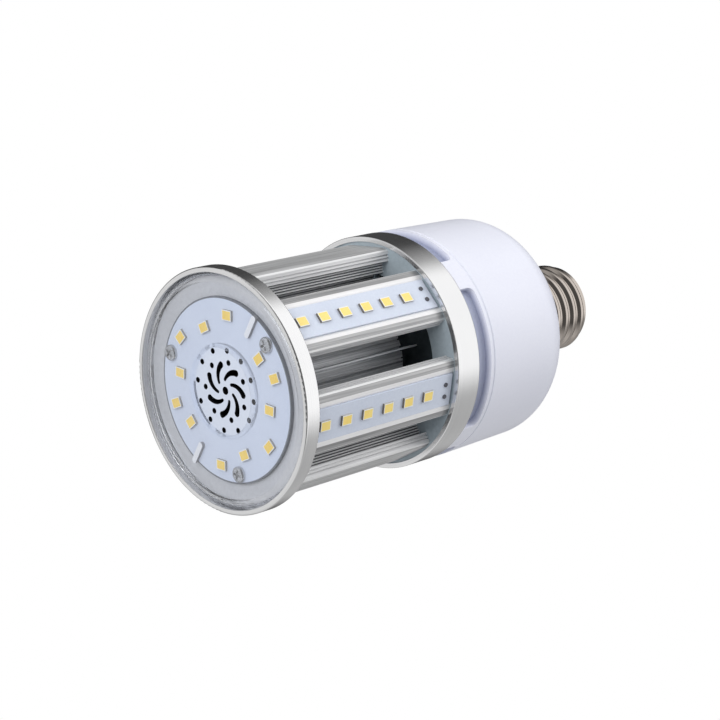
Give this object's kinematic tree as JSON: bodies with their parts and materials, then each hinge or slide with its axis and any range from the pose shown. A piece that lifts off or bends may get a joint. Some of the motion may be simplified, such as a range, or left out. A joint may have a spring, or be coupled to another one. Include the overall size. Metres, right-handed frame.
{
  "type": "corn led bulb",
  "caption": "Corn LED bulb: a flat lit head under a clear cover, lit aluminium fins round an open core, a white driver housing with vent notches, and a medium screw cap.",
  "frame": {"origin": "centre of the plane of the front rim, on the lamp's axis", "axes": "+Z along the lamp's axis from the lit head to the screw cap, +X through the middle of the first fin; the lamp stands on its flat head"},
  "size_m": [0.066, 0.066, 0.1425],
  "materials": {
    "polished_metal": "polished and brushed round",
    "plate_metal": "satin",
    "fin_metal": "extruded",
    "clear_plastic": "clear",
    "white_board": "matte solder mask",
    "led_body": "matte",
    "led_phosphor": "matte",
    "terminal_metal": "tinned",
    "screw_metal": "plated",
    "solder": "dull solder",
    "white_plastic": "satin",
    "cap_metal": "nickel plated",
    "black_insulator": "glossy",
    "contact_metal": "soldered",
    "green_board": "matte solder mask",
    "ferrite": "matte",
    "coil_tape": "taped",
    "capacitor_sleeve": "glossy",
    "red_case": "glossy",
    "blue_case": "glossy",
    "black_case": "moulded",
    "dark_wire": "insulated"
  },
  "bodies": {
    "root": {"front_ring": "polished_metal", "front_plate": "plate_metal", "front_cover": "clear_plastic", "front_led_board": "white_board", "front_led_packages": "led_body", "front_led_phosphor": "led_phosphor", "board_terminals": "terminal_metal", "board_screws": "screw_metal", "fin_screws_front": "screw_metal", "fin_screws_rear": "screw_metal", "heatsink_fin_1": "fin_metal", "heatsink_fin_2": "fin_metal", "heatsink_fin_3": "fin_metal", "heatsink_fin_4": "fin_metal", "heatsink_fin_5": "fin_metal", "heatsink_fin_6": "fin_metal", "heatsink_fin_7": "fin_metal", "core_tube": "fin_metal", "strip_board_1": "white_board", "strip_board_2": "white_board", "strip_board_4": "white_board", "strip_board_5": "white_board", "strip_board_6": "white_board", "strip_led_packages": "led_body", "strip_led_phosphor": "led_phosphor", "strip_solder_joints": "solder", "rear_plate": "plate_metal", "rear_ring": "polished_metal", "vent_collar": "white_plastic", "driver_housing": "white_plastic", "screw_shell": "cap_metal", "cap_insulator": "black_insulator", "centre_contact": "contact_metal", "driver_board": "green_board", "transformer_core": "ferrite", "transformer_coil": "coil_tape", "input_capacitor": "capacitor_sleeve", "output_capacitors": "capacitor_sleeve", "film_capacitor": "red_case", "varistor": "blue_case", "bridge_rectifier": "black_case", "switch_transistor": "black_case", "input_fuse": "black_case", "live_lead": "dark_wire", "neutral_lead": "dark_wire", "output_lead_plus": "dark_wire", "output_lead_minus": "dark_wire"}
  },
  "joints": []
}
